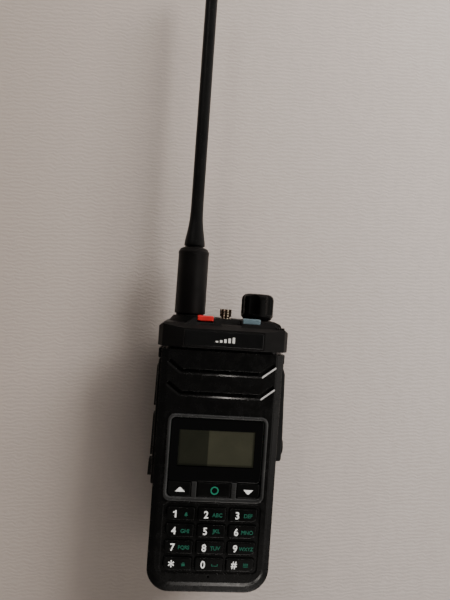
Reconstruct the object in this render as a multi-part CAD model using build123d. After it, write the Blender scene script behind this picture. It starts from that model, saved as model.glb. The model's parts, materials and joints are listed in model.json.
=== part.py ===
from build123d import *
import math
import os

# Handheld two-way radio, standing upright, with an antenna, two top controls and a belt clip.
# +Z runs up the body towards the antenna, +Y towards the battery and clip, and +X to the right
# as the user faces the keypad. Origin: centre of the flat bottom, about halfway between the
# front face and the back of the battery. Lengths are millimetres.
# In names, "half_w" is a half width about X = 0, and a trailing _X, _Y or _Z on a pair of
# values is a span along that axis.

# ---------------------------------------------------------------- driving dimensions
BODY_HALF_W = 29.3
FACE_HALF_W = 26.0          # flat front face, inside the side bevels
FRONT_Y = -17.5             # flat front face
SPLIT_Y = 2.0               # parting face between casing and chassis
HOUSING_TOP = 115.6
SHOULDER_HALF_W = 31.0      # casing shoulders just below the top cap
CORNER_R = 10.5             # bottom corners seen from the front
WALL = 2.0
CHASSIS_HALF_W, CHASSIS_BACK_Y = 29.2, 7.8
BATTERY_Y0, BATTERY_Y1 = 8.0, 18.0
BATTERY_TOP = 100.6
BATTERY_HALF_W = 28.6
RAIL_X = 21.0               # battery rails, either side of the middle
BOSSES = ((-17.0, 5.0), (17.0, 5.0))        # x, z of the screws joining chassis and casing
# top cap
CAP_Z0, CAP_Z1 = 116.8, 126.2   # vertical band of the cap
SLOPE_Z = 128.4                 # top of the slope above the band
DECK_Z = 131.0                  # raised deck
CAP_HALF_W = 31.5
CAP_FRONT_Y, CAP_BACK_Y = -18.6, 15.0
# front features
GROOVES = ((106.7, 111.3), (96.1, 100.7))   # height of the level part, height of the raised ends
GROOVE_FLAT_X, GROOVE_END_X = 18.8, 24.8
GROOVE_DEPTH, GROOVE_DROP = 1.7, 2.7
BEZEL_HALF_W, BEZEL_Z0, BEZEL_Z1 = 24.2, 43.7, 85.3
LENS_HALF_W, LENS_Z0, LENS_Z1 = 22.1, 53.3, 83.3
RIB_X0, RIB_X1 = 8.3, 10.8                  # upright ribs between the function keys
FKEY_Z0, FKEY_Z1 = 46.1, 52.9
KEY_COLS = (-14.95, 0.0, 14.95)
KEY_ROWS = (37.8, 29.85, 21.9, 13.95)
KEY_NAMES = (("key_1", "key_2", "key_3"), ("key_4", "key_5", "key_6"),
             ("key_7", "key_8", "key_9"), ("key_star", "key_0", "key_hash"))
KEY_W, KEY_H = 13.4, 6.2
KEY_GAP = 0.22                              # gap round each key
KEY_BACK_Y = -14.05                         # back end of the key stems
# left side keys: name, height span, outer x at the bottom, outer x at the top, face grooves
SIDE_KEYS = (
    ("ptt_button", (86.6, 106.6), -31.7, -31.3, 5),
    ("side_key_upper", (62.4, 82.6), -31.9, -31.6, 3),
    ("side_key_lower", (52.2, 59.8), -32.5, -32.3, 0),
)
SIDE_Y = (-10.0, -2.6)
# right side
COVER_Z = (61.0, 109.0)
COVER_Y = (-9.5, 1.5)
SOCKET_Y = sum(COVER_Y) / 2                 # line of the sockets and the cover screw
COVER_SCREW_Z = 68.0
HINGE_X, HINGE_Z = 30.75, 109.3
JACKS = ((100.0, 1.75), (88.6, 1.25))       # height and radius of the two accessory sockets
# top controls, all on one line across the body
CTRL_Y = 2.0
ANT_X, ENC_X, VOL_X = -17.2, 1.4, 17.8
SHAFT_R, SHAFT_BORE_R, SHAFT_Z0 = 2.4, 2.45, 113.0
SLEEVE_R, SLEEVE_Z0, SLEEVE_Z1 = 7.9, 131.9, 166.2
WHIP_R, WHIP_TOP = 3.2, 318.0
KNOB_R, KNOB_Z0, KNOB_Z1 = 8.4, 131.3, 144.8
ENC_R, ENC_TOP = 3.0, 135.7
ALARM_X, WINDOW_X = (-13.4, -5.6), (8.7, 17.4)
# name plate
PLATE_HALF_W, PLATE_Z0, PLATE_Z1 = 19.0, 118.0, 125.3
# belt clip
CLIP_Z, CLIP_Y, CLIP_HALF_W = 111.2, 20.0, 8.4
CLIP_PIN_R, CLIP_PIN_HALF_W = 1.0, 11.6
CLIP_SCREWS = ((-5.2, 113.4), (5.2, 113.4))     # x, z
# battery contacts under the lower back
CHARGE_X, CHARGE_Z = (-9.0, 9.0), 6.4

os.makedirs("parts", exist_ok=True)


# ---------------------------------------------------------------- helpers
def around(middle, half):
    return middle - half, middle + half


def box(x0, x1, y0, y1, z0, z1):
    return Pos((x0 + x1) / 2, (y0 + y1) / 2, (z0 + z1) / 2) * Box(x1 - x0, y1 - y0, z1 - z0)


def mid_box(half_w, y0, y1, z0, z1):
    return box(-half_w, half_w, y0, y1, z0, z1)


def cyl_x(y, z, x0, x1, r):
    return Pos((x0 + x1) / 2, y, z) * (Rot(0, 90, 0) * Cylinder(r, x1 - x0))


def cyl_y(x, z, y0, y1, r):
    return Pos(x, (y0 + y1) / 2, z) * (Rot(90, 0, 0) * Cylinder(r, y1 - y0))


def post(x, z0, z1, r, y=CTRL_Y):
    """An upright cylinder, on the line of the top controls unless y is given."""
    return Pos(x, y, (z0 + z1) / 2) * Cylinder(r, z1 - z0)


def poly(*points):
    return Polygon(*points, align=None)


def ext_x(sketch, x0, x1):
    """A sketch drawn in (Y, Z) made solid from x0 to x1."""
    return Pos(x0, 0, 0) * extrude(Plane.YZ * sketch, x1 - x0, dir=(1, 0, 0))


def ext_y(sketch, y0, y1):
    """A sketch drawn in (X, Z) made solid from y0 to y1."""
    return Pos(0, y1, 0) * extrude(Plane.XZ * sketch, y1 - y0, dir=(0, -1, 0))


def ext_z(sketch, z0, z1):
    return Pos(0, 0, z0) * extrude(sketch, z1 - z0, dir=(0, 0, 1))


def round_rect(u0, u1, v0, v1, r):
    return Pos((u0 + u1) / 2, (v0 + v1) / 2) * RectangleRounded(u1 - u0, v1 - v0, r)


def plate_x(y0, y1, z0, z1, r, x0, x1):
    return ext_x(round_rect(y0, y1, z0, z1, r), x0, x1)


def plate_y(x0, x1, z0, z1, r, y0, y1):
    return ext_y(round_rect(x0, x1, z0, z1, r), y0, y1)


def mid_plate(half_w, z0, z1, r, y0, y1):
    return plate_y(-half_w, half_w, z0, z1, r, y0, y1)


def turned(points):
    """A closed (radius, Z) profile revolved about the Z axis."""
    return revolve(Plane.XZ * make_face(Polyline(*points, points[0])), Axis.Z)


def hexagon(x, z0, z1, flats):
    return ext_z(Pos(x, CTRL_Y) * RegularPolygon(flats / math.sqrt(3), 6), z0, z1)


def outline(half_w, z0, z1, corner):
    """Front view of the body: square at the top, rounded at both bottom corners."""
    sketch = Pos(0, (z0 + z1) / 2) * Rectangle(2 * half_w, z1 - z0)
    return fillet(sketch.vertices().filter_by(lambda v: v.Y < z0 + 0.1), corner)


def fuse(parts):
    total = parts[0]
    for part in parts[1:]:
        total = total + part
    return total


def edges_at(part, axis, level):
    """Edges lying wholly at one level of the axis "X", "Y" or "Z"."""
    def is_level(edge):
        bounds = edge.bounding_box()
        ends = getattr(bounds.min, axis), getattr(bounds.max, axis)
        return all(abs(end - level) < 0.02 for end in ends)
    return part.edges().filter_by(is_level)


def soften(part, edges, radius):
    """Fillet the edges, with a smaller radius if the full one can't be made."""
    for scale in (1.0, 0.7, 0.45):
        # guards against radii the kernel can't fit; if none fits, the edges stay sharp
        try:
            out = fillet(edges, radius * scale)
            if out.is_valid and out.volume > 0:
                return out
        except Exception:
            pass
    return part


def save(name, shape):
    solids = shape.solids()
    whole = Compound(children=list(solids)) if len(solids) > 1 else solids[0]
    export_step(whole, f"parts/{name}.step")


# ---------------------------------------------------------------- front casing
# y, half width, bottom z, corner radius of the outlines
OUTER_RINGS = (
    (FRONT_Y, FACE_HALF_W, 5.2, 8.0),
    (-17.0, 26.9, 3.3, 9.3),
    (-16.7, BODY_HALF_W - 0.15, 0.35, 11.2),
    (-16.5, BODY_HALF_W, 0.0, 11.3),
)
INNER_RINGS = ((-15.1, FACE_HALF_W - 1.4, 8.4, 7.0), (-13.4, BODY_HALF_W - WALL, 2.4, 9.4))
# depth behind the face, height from the groove's upper edge
GROOVE_SECTION = (
    (-0.6, 0.001), (GROOVE_DEPTH, 0), (GROOVE_DEPTH, -1.3),
    (0.42, -GROOVE_DROP + 0.68), (0, -GROOVE_DROP), (-0.6, -GROOVE_DROP - 0.95),
)
SLOT_PITCH, SLOT_HALF_W = 7.6, 2.9


def casing_block(rings, y_back):
    """Outlines joined by straight walls, the last one carried back to y_back."""
    segments = []
    for ring_a, ring_b in zip(rings, rings[1:]):
        faces = []
        for y, half_w, z0, corner in (ring_a, ring_b):
            placed = Pos(0, y, 0) * (Plane.XZ * outline(half_w, z0, HOUSING_TOP, corner))
            faces.append(placed.faces()[0])
        segments.append(loft(faces, ruled=True))
    y, half_w, z0, corner = rings[-1]
    return fuse(segments) + ext_y(outline(half_w, z0, HOUSING_TOP, corner), y, y_back)


def key_outline(col, xc, zc, grow=0.0):
    """A key seen from the front: the outer lower corner of the side columns is well rounded."""
    half_w, half_h = KEY_W / 2 + grow, KEY_H / 2 + grow
    sketch = Pos(xc, zc) * Rectangle(2 * half_w, 2 * half_h)
    corners = sketch.vertices()
    side = {0: -1, 2: 1}.get(col)
    if side is None:
        return fillet(corners, 0.9 + grow)
    sketch = fillet(corners.filter_by(lambda v: v.Y < zc and v.X * side > xc * side), 2.6 + grow)
    rest = sketch.vertices().filter_by(lambda v: v.Y > zc or v.X * side < xc * side)
    rest = rest.filter_by(lambda v: abs(abs(v.X - xc) - half_w) < 0.01
                          and abs(abs(v.Y - zc) - half_h) < 0.01)
    return fillet(rest, 0.9 + grow)


outer = casing_block(OUTER_RINGS, SPLIT_Y)
for side in (-1, 1):
    shoulder = box(*sorted((side * 27.5, side * SHOULDER_HALF_W)),
                   -13.0, SPLIT_Y, 110.6, HOUSING_TOP)
    outer = outer + soften(shoulder, edges_at(shoulder, "X", side * SHOULDER_HALF_W), 0.9)
inner = casing_block(INNER_RINGS, SPLIT_Y + 0.5)
inner = inner + mid_box(24.6, -15.1, SPLIT_Y + 0.5, HOUSING_TOP - 2, HOUSING_TOP + 1)
housing = outer - inner
# neck that rises inside the top cap
neck = (ext_z(round_rect(-27.2, 27.2, -15.6, 12.0, 3.0), HOUSING_TOP - 1.0, 119.0)
        - ext_z(round_rect(-25.8, 25.8, -14.2, 13.0, 2.0), HOUSING_TOP - 2, 121))
neck = neck & mid_box(30, -20, SPLIT_Y, 110, 125)
housing = housing + (neck - mid_box(26.9, -15, 5, 110, HOUSING_TOP - 0.2))
# sound grooves: a deep upper edge with slots below it, and a lip sloping back to the face
for z_level, z_end in GROOVES:
    path = Polyline((-GROOVE_END_X, FRONT_Y, z_end), (-GROOVE_FLAT_X, FRONT_Y, z_level),
                    (GROOVE_FLAT_X, FRONT_Y, z_level), (GROOVE_END_X, FRONT_Y, z_end))
    start = Plane(origin=(-GROOVE_END_X, FRONT_Y, z_end), x_dir=(0, 1, 0),
                  z_dir=(GROOVE_END_X - GROOVE_FLAT_X, 0, z_level - z_end))
    section = start * poly(*GROOVE_SECTION)
    housing = housing - sweep(section, path=path, transition=Transition.RIGHT)
    for i in range(-2, 3):
        housing = housing - plate_y(*around(SLOT_PITCH * i, SLOT_HALF_W),
                                    z_level - 0.75, z_level - 0.1, 0.3, FRONT_Y - 1, -14)
# display opening and the bezel's seat
housing = housing - mid_plate(22.7, 45.3, 84.0, 2.4, FRONT_Y - 2, -12)
housing = housing - mid_plate(BEZEL_HALF_W + 0.1, BEZEL_Z0 - 0.1, BEZEL_Z1 + 0.1, 3.6,
                              FRONT_Y - 2, -16.6)
# keypad recess and key openings
housing = housing - mid_plate(23.4, 9.4, 42.9, 2.6, FRONT_Y - 2, -17.0)
for zc in KEY_ROWS:
    for col, xc in enumerate(KEY_COLS):
        housing = housing - ext_y(key_outline(col, xc, zc, KEY_GAP), FRONT_Y - 2, -14)
# microphone port
housing = housing - cyl_y(0, 8.0, FRONT_Y - 1, -12, 0.55)
# left opening for the press keys; right openings for the sockets and the cover screw
housing = housing - plate_x(-11.2, -1.4, 49.8, 109.0, 1.6, -32, -26)
housing = housing - plate_x(*around(SOCKET_Y, 4.2), 83.6, 105.0, 1.2, 26, 32)
housing = housing - cyl_x(SOCKET_Y, COVER_SCREW_Z, 26, 32, 1.72)
for x, z in BOSSES:
    housing = housing + (cyl_y(x, z, -14.0, SPLIT_Y - 0.1, 2.4) & outer)
for x, z in BOSSES:
    housing = housing - cyl_y(x, z, -8.0, SPLIT_Y + 1, 1.24)
save("front_housing", housing)

# ---------------------------------------------------------------- display
BEZEL_FRONT_Y, RIB_FRONT_Y, LENS_FRONT_Y = -18.3, -17.95, -17.45

bezel = mid_plate(BEZEL_HALF_W, BEZEL_Z0, BEZEL_Z1, 3.5, BEZEL_FRONT_Y, -16.65)
bezel = bezel - mid_plate(22.4, 45.9, 83.6, 2.0, -20, -15)
bezel = soften(bezel, edges_at(bezel, "Y", BEZEL_FRONT_Y), 0.7)
for side in (-1, 1):
    rib = box(*sorted((side * RIB_X0, side * RIB_X1)), RIB_FRONT_Y, -16.7, 45.0, 53.2)
    bezel = bezel + soften(rib, edges_at(rib, "Y", RIB_FRONT_Y).filter_by(Axis.Z), 0.4)
save("display_bezel", bezel)

lens = mid_plate(LENS_HALF_W, LENS_Z0, LENS_Z1, 1.7, LENS_FRONT_Y, -16.25)
save("display_lens", soften(lens, edges_at(lens, "Y", LENS_FRONT_Y), 0.25))

save("lcd_module", mid_plate(20.6, 56.4, 82.2, 0.6, -16.1, -14.9)
     + mid_plate(21.2, 55.6, 82.8, 0.8, -14.9, -12.8))


# ---------------------------------------------------------------- keys
def press_key(face, flange, y_face, y_flange0, y_flange1, edge_r):
    """A cap with a flange behind it and a round stem on the flange's back."""
    cap = ext_y(face, y_face, y_flange1)
    cap = soften(cap, edges_at(cap, "Y", y_face), edge_r)
    middle = flange.bounding_box().center()
    stem = Pos(middle.X, middle.Y) * Circle(1.7)
    return cap + ext_y(flange, y_flange0, y_flange1) + ext_y(stem, y_flange1, KEY_BACK_Y)


def fkey_outline(x0, x1, z0, z1, small, big):
    """A function key: the outer lower corner of the two side keys is rounded by big."""
    sketch = Pos((x0 + x1) / 2, (z0 + z1) / 2) * Rectangle(x1 - x0, z1 - z0)
    outer_x = x0 if x0 < -15 else (x1 if x1 > 15 else None)
    if outer_x is not None:
        lower = sketch.vertices().filter_by(
            lambda v: abs(v.X - outer_x) < 0.01 and v.Y < z0 + 0.1)
        sketch = fillet(lower, big)
    rest = sketch.vertices().filter_by(
        lambda v: v.Y > z1 - 0.01
        or (abs(v.Y - z0) < 0.01 and min(abs(v.X - x0), abs(v.X - x1)) < 0.01))
    return fillet(rest, small)


for names, zc in zip(KEY_NAMES, KEY_ROWS):
    for col, xc in enumerate(KEY_COLS):
        flange = round_rect(*around(xc, KEY_W / 2 + 0.5), *around(zc, KEY_H / 2 + 0.55), 0.6)
        save(names[col], press_key(key_outline(col, xc, zc), flange, -17.95, -14.9, -14.3, 0.45))

FKEY_END_X, FKEY_GAP = 22.0, 0.25
for name, x0, x1 in (("key_up", -FKEY_END_X, -RIB_X1 - FKEY_GAP),
                     ("key_menu", -RIB_X0 + FKEY_GAP, RIB_X0 - FKEY_GAP),
                     ("key_down", RIB_X1 + FKEY_GAP, FKEY_END_X)):
    face = fkey_outline(x0, x1, FKEY_Z0, FKEY_Z1, 0.7, 2.2)
    flange = fkey_outline(x0 - 0.3, x1 + 0.3, FKEY_Z0 - 0.35, FKEY_Z1 + 0.25, 0.5, 2.4)
    save(name, press_key(face, flange, -17.75, -16.5, -15.9, 0.35))

mat = mid_plate(23.0, 10.2, 54.2, 1.5, -13.35, -12.75)
for zc in KEY_ROWS:
    for xc in KEY_COLS:
        mat = mat - cyl_y(xc, zc, -14, -12, 1.2)
save("key_mat", mat)

# ---------------------------------------------------------------- boards
board = mid_plate(25.8, 10.0, 88.0, 1.5, -12.6, -11.6)
for x in (-23.4, 23.4):
    board = board - cyl_y(x, 12.6, -14, -10, 1.1)
save("control_board", board)

main_board = mid_plate(22.4, 10.0, 108.0, 1.5, -5.0, -3.8)
main_board = main_board - box(13.2, 30, -10, 2, 82.0, 106.4)    # room for the sockets
for _, key_z, _, _, _ in SIDE_KEYS:         # side-push switches at the left edge
    zc = sum(key_z) / 2
    main_board = main_board + box(-24.6, -20.6, -8.0, -4.9, *around(zc, 2.6))
    main_board = main_board + box(-25.0, -24.5, -7.2, -5.6, *around(zc, 1.2))
save("main_board", main_board)

CAN_WALL = 0.4
cans = []
for x0, x1, z0, z1 in ((-20, 11, 60, 104), (-20, 20, 14, 52)):
    hollow = plate_y(x0 + CAN_WALL, x1 - CAN_WALL, z0 + CAN_WALL, z1 - CAN_WALL, 0.6, -4.5, -1.0)
    cans.append(plate_y(x0, x1, z0, z1, 1.0, -3.75, -0.6) - hollow)
save("shield_cans", fuse(cans))

# ---------------------------------------------------------------- speaker and microphone
SPEAKER_Z = 101.0


def speaker_slot(width, height, y0, y1):
    return ext_y(Pos(0, SPEAKER_Z) * SlotOverall(width, height), y0, y1)


speaker = speaker_slot(40.0, 24.6, -14.5, -12.2) - speaker_slot(36.4, 21.0, -15.0, -13.4)
speaker = speaker + speaker_slot(35.6, 20.2, -13.9, -13.3) + cyl_y(0, SPEAKER_Z, -12.3, -7.6, 9.6)
save("speaker", speaker)
save("microphone", cyl_y(0, 7.4, -12.4, -9.8, 2.1))

# ---------------------------------------------------------------- left side: press keys
FRAME_X = -30.7             # outer face of the key frame
GRIP_PITCH = 2.2


def side_prism(key_z, grow):
    """The outline of a side key, run through the left wall."""
    (y0, y1), (z0, z1) = SIDE_Y, key_z
    return plate_x(y0 - grow, y1 + grow, z0 - grow, z1 + grow, 1.4 + grow, -33, -26)


def side_key(key_z, x_bottom, x_top, grooves):
    """A press key whose face leans further out at the bottom than at the top."""
    (y0, y1), (z0, z1) = SIDE_Y, key_z
    body = side_prism(key_z, 0.0) & box(-33.0, -26.95, -12, 0, z0 - 1, z1 + 1)
    lean = ext_y(poly((x_bottom, z0), (x_top, z1), (-26.0, z1 + 0.5), (-26.0, z0 - 0.5)), -14, 2)
    lean = lean + box(-29.0, -26.0, -14, 2, z0 - 1, z1 + 1)
    body = body & lean
    zc = (z0 + z1) / 2
    for i in range(grooves):
        z = zc + (i - (grooves - 1) / 2) * GRIP_PITCH
        body = body - box(-34, x_top + 0.45, y0 + 1.4, y1 - 1.4, z - 0.35, z + 0.35)
    flange = plate_x(y0 - 0.6, y1 + 0.6, z0 - 0.6, z1 + 0.6, 1.2, -27.0, -26.3)
    return body + flange + cyl_x((y0 + y1) / 2, zc, -26.4, -26.0, 1.6)


frame = (plate_x(-11.1, -1.5, 49.9, 108.9, 1.5, -29.8, -27.2)
         + plate_x(-12.3, -0.4, 48.6, 110.0, 2.4, FRAME_X, -29.53))
frame = soften(frame, edges_at(frame, "X", FRAME_X), 0.7)
for _, key_z, _, _, _ in SIDE_KEYS:
    frame = frame - side_prism(key_z, 0.2)
save("side_key_frame", frame)

for name, *shape in SIDE_KEYS:
    save(name, side_key(*shape))

# ---------------------------------------------------------------- right side: sockets and cover
jacks = plate_x(*around(SOCKET_Y, 3.9), 83.9, 104.7, 1.0, 14.0, 29.1)
for z, r in JACKS:
    jacks = jacks - cyl_x(SOCKET_Y, z, 15.5, 30, r)
save("accessory_jacks", jacks)

cover_z0, cover_z1 = COVER_Z
# x, z seen from the front: the outer face tapers towards the top
COVER_PROFILE = (
    (29.0, cover_z0 - 1), (33.4, cover_z0 - 1), (33.4, 74.0), (32.5, 105.2),
    (31.3, cover_z1), (31.3, cover_z1 + 1), (29.0, cover_z1 + 1),
)
cover = plate_x(*COVER_Y, *COVER_Z, 2.6, 29.62, 34.0)
cover = cover & ext_y(poly(*COVER_PROFILE), -12, 4)
cover = soften(cover, cover.edges().filter_by(lambda e: e.bounding_box().min.X > 31.5), 0.8)
for i in range(6):                       # finger grip grooves in the face
    cover = cover - box(32.6, 36, -7.6, -0.4, *around(82.0 + 2.4 * i, 0.4))
cover = cover - cyl_x(SOCKET_Y, COVER_SCREW_Z, 28, 36, 1.56)
cover = cover - cyl_x(SOCKET_Y, COVER_SCREW_Z, 31.4, 36, 4.75)
knuckle = cyl_y(HINGE_X, HINGE_Z, -8.0, 0.0, 0.95)
cover = cover + (knuckle + box(*around(HINGE_X, 0.9), -8.0, 0.0, 107.5, HINGE_Z))
save("accessory_cover", cover)

SCREW_FACE_X, KNURL_RING_R = 34.2, 4.75
thumb_screw = cyl_x(SOCKET_Y, COVER_SCREW_Z, 31.5, SCREW_FACE_X, 4.55)
thumb_screw = soften(thumb_screw, edges_at(thumb_screw, "X", SCREW_FACE_X), 0.5)
for i in range(20):
    angle = math.radians(18 * i)
    thumb_screw = thumb_screw - cyl_x(SOCKET_Y + KNURL_RING_R * math.cos(angle),
                                      COVER_SCREW_Z + KNURL_RING_R * math.sin(angle),
                                      31, 36, 0.42)
thumb_screw = thumb_screw - box(33.2, 36, *around(SOCKET_Y, 0.5), *around(COVER_SCREW_Z, 6))
save("cover_screw", thumb_screw + cyl_x(SOCKET_Y, COVER_SCREW_Z, 27.2, 31.6, 1.5))

# ---------------------------------------------------------------- chassis and seal
chassis = ext_y(outline(CHASSIS_HALF_W, 0, 115.4, CORNER_R), SPLIT_Y + 0.3, CHASSIS_BACK_Y)
chassis = chassis - ext_y(outline(26.0, 4.0, 100.0, 8.0), 1.0, 5.2)
# thicker block across the top of the back, hollowed from inside
block = ext_z(poly((-CHASSIS_HALF_W, 7.0), (-CHASSIS_HALF_W, 11.0), (-26.3, 14.0),
                   (26.3, 14.0), (CHASSIS_HALF_W, 11.0), (CHASSIS_HALF_W, 7.0)), 101.2, 116.0)
chassis = chassis + soften(block, block.edges().filter_by(Axis.Z), 1.2)
chassis = chassis - mid_box(25.6, 1.0, 11.6, 103.6, 118.0)
# upright web and the shelf that carries the top controls
chassis = (chassis + mid_box(25.4, 9.4, 11.6, 110.0, 121.6)
           + mid_box(25.4, -8.0, 11.6, 119.4, 121.6))
for x, r in ((ANT_X, 3.3), (ENC_X, 3.55), (VOL_X, 3.55)):
    chassis = chassis - post(x, 118, 124, r)
for side in (-1, 1):                     # battery rail grooves, open at the bottom
    chassis = chassis - box(*around(side * RAIL_X, 1.3), 6.2, 8.5, -1, 99.0)
for x, z in BOSSES:
    chassis = chassis - cyl_y(x, z, 1, 9, 1.4)
for x, z in BOSSES:                      # counterbores for the screw heads
    chassis = chassis - cyl_y(x, z, 6.2, 9, 2.4)
chassis = chassis - mid_box(6.2, 7.2, 15.0, 101.0, 106.4)       # latch pocket
chassis = chassis - mid_box(8.2, 6.6, 8.5, 92.0, 98.6)          # terminal block seat
# lug on the back with an upright hole
lug = plate_y(19.4, 24.6, 106.6, 109.2, 0.6, 13.5, 19.6)
lug = soften(lug, lug.edges().filter_by(Axis.Z).filter_by(lambda e: e.center().Y > 19), 2.2)
chassis = chassis + (lug - post(22.0, 105, 111, 1.3, y=17.0))
for x, z in CLIP_SCREWS:
    chassis = chassis - cyl_y(x, z, 11, 15, 1.24)
save("chassis", chassis)

seal = (ext_y(outline(28.9, 0.5, 115.5, CORNER_R - 0.3), SPLIT_Y + 0.02, SPLIT_Y + 0.28)
        - ext_y(outline(27.7, 2.4, 117.4, CORNER_R - 1.5), 1, 4))
for x, z in BOSSES:
    seal = seal - cyl_y(x, z, 1, 4, 2.6)
save("chassis_seal", seal)

terminals = mid_box(8.0, 6.7, 7.75, 92.2, 98.4)
for i in (-1, 0, 1):
    terminals = terminals + box(*around(i * 4.6, 1.2), 7.7, 7.95, 93.4, 97.2)
save("battery_terminals", terminals)

# ---------------------------------------------------------------- top cap
CAP_PLAN = (                # x, y seen from above
    (-19.6, CAP_FRONT_Y), (19.6, CAP_FRONT_Y), (29.3, -16.6), (CAP_HALF_W, -13.8),
    (CAP_HALF_W, 11.2), (27.2, CAP_BACK_Y), (-27.2, CAP_BACK_Y), (-CAP_HALF_W, 11.2),
    (-CAP_HALF_W, -13.8), (-29.3, -16.6),
)
SLOPE_SIDE = (              # y, z
    (CAP_FRONT_Y, CAP_Z1 - 1), (CAP_FRONT_Y, CAP_Z1), (-15.1, SLOPE_Z),
    (11.6, SLOPE_Z), (CAP_BACK_Y, CAP_Z1), (CAP_BACK_Y, CAP_Z1 - 1),
)
SLOPE_FRONT = (             # x, z
    (-CAP_HALF_W, CAP_Z1 - 1), (-CAP_HALF_W, CAP_Z1), (-28.4, SLOPE_Z),
    (28.4, SLOPE_Z), (CAP_HALF_W, CAP_Z1), (CAP_HALF_W, CAP_Z1 - 1),
)
DECK_SIDE = (               # y, z
    (-9.2, 125.2), (-9.2, CAP_Z1), (-5.7, DECK_Z), (8.9, DECK_Z), (12.4, CAP_Z1), (12.4, 125.2),
)
DECK_FRONT = (              # x, z
    (-17.5, 125.2), (-17.5, CAP_Z1), (-12.6, DECK_Z), (25.8, DECK_Z),
    (28.7, 129.9), (29.5, 128.1), (29.5, 125.2),
)
FOOT_R, FOOT_Z = 11.2, 127.7

plan = poly(*CAP_PLAN)
plan = fillet(plan.vertices(), 1.0)
band = ext_z(plan, CAP_Z0, CAP_Z1)
band = soften(band, edges_at(band, "Z", CAP_Z0), 0.6)
slope = ext_x(poly(*SLOPE_SIDE), -32, 32)
slope = slope & ext_y(poly(*SLOPE_FRONT), -20, 16)
slope = slope & ext_z(plan, 120, 135)
cap = band + slope
cap = cap + (ext_x(poly(*DECK_SIDE), -18.0, 30.0) & ext_y(poly(*DECK_FRONT), -10, 13))
# two raised noses in front of the deck, for the alarm key and the status window
alarm_nose = ext_y(poly((-21.4, 126.0), (-15.0, 131.3), (-4.2, 131.3), (0.8, 126.0)), -17.2, -3.0)
window_nose = ext_y(poly((7.4, 126.0), (8.5, DECK_Z - 0.2), (23.4, DECK_Z - 0.2), (28.2, 126.0)),
                    -17.2, -3.0)
rake = ext_x(poly((-17.0, 126.0), (-14.3, 131.4), (0, 131.4), (0, 126.0)), -30, 30)
cap = cap + ((alarm_nose + window_nose) & rake)
# raised foot round the antenna
cone = Cone(FOOT_R, 8.3, 3.55, align=(Align.CENTER, Align.CENTER, Align.MIN))
foot = Pos(ANT_X, CTRL_Y, FOOT_Z) * cone + post(ANT_X, 125.0, FOOT_Z + 0.05, FOOT_R)
cap = cap + soften(foot, edges_at(foot, "Z", FOOT_Z + 3.55), 0.4)
for x in (ENC_X, VOL_X):                 # shallow dishes round the control shafts
    cap = cap - post(x, DECK_Z - 0.5, 135, 6.6)
# hollow underside
cap = cap - ext_z(round_rect(-28.4, 28.4, -16.2, 12.7, 2.5), CAP_Z0 - 1, 124.2)
for x, r in ((ANT_X, 5.4), (ENC_X, 3.7), (VOL_X, 3.7)):
    cap = cap - post(x, 122, 134, r)
# name plate recess, alarm key and window pockets
cap = cap - mid_plate(PLATE_HALF_W + 0.1, PLATE_Z0 - 0.1, PLATE_Z1 + 0.1, 0.5, -20, -17.9)
cap = cap - box(ALARM_X[0] - 0.15, ALARM_X[1] + 0.15, -18, -7.4, 129.2, 133)
cap = cap - box(ALARM_X[0] + 1.5, ALARM_X[1] - 1.5, -12, -9.0, 122, 129.4)
cap = cap - box(WINDOW_X[0] - 0.1, WINDOW_X[1] + 0.1, -18, -8.6, 129.5, 133)
cap = cap - box(WINDOW_X[0] + 3.0, WINDOW_X[1] - 3.0, -12, -9.5, 122, 129.7)
cap = cap - mid_box(5.4, 14.2, 16, 109, 117.4)
save("top_cap", cap)

PLATE_FRONT_Y = -18.75
plate = mid_plate(PLATE_HALF_W, PLATE_Z0, PLATE_Z1, 0.4, PLATE_FRONT_Y, -17.95)
save("name_plate", soften(plate, edges_at(plate, "Y", PLATE_FRONT_Y), 0.35))


def upper_edges(part):
    return part.edges().filter_by(lambda e: e.center().Z > 130)


alarm = box(*ALARM_X, -14.9, -7.6, 129.9, 132.2)
alarm = soften(alarm, upper_edges(alarm), 0.45)
alarm = alarm + box(ALARM_X[0] + 1.7, ALARM_X[1] - 1.7, -11.8, -9.2, 125.0, 130.0)
save("alarm_button", alarm)

window = box(*WINDOW_X, -14.8, -8.8, 129.6, 132.0)
window = soften(window, upper_edges(window), 0.4)
window = window + box(WINDOW_X[0] + 3.2, WINDOW_X[1] - 3.2, -11.8, -9.7, 122.6, 129.8)
save("status_window", window)


# ---------------------------------------------------------------- volume control, channel encoder
def control_body(x):
    body = box(*around(x, 5.6), *around(CTRL_Y, 5.4), 111.4, 119.0)
    body = soften(body, body.edges().filter_by(Axis.Z), 0.8)
    body = body + post(x, 118.8, 127.0, 3.45)
    return body - post(x, SHAFT_Z0 - 0.2, 130, SHAFT_BORE_R)


save("volume_control", control_body(VOL_X))
save("channel_encoder", control_body(ENC_X))
save("control_nuts", fuse([hexagon(x, 121.7, 123.6, 9.0) - post(x, 121, 125, 3.5)
                           for x in (ENC_X, VOL_X)]))

# volume shaft, with a flat on its right side
volume_shaft = post(VOL_X, SHAFT_Z0, 141.4, SHAFT_R)
volume_shaft = volume_shaft - box(VOL_X + 0.9, VOL_X + 4, *around(CTRL_Y, 4), 133.0, 143)
save("volume_shaft", volume_shaft)

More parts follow.
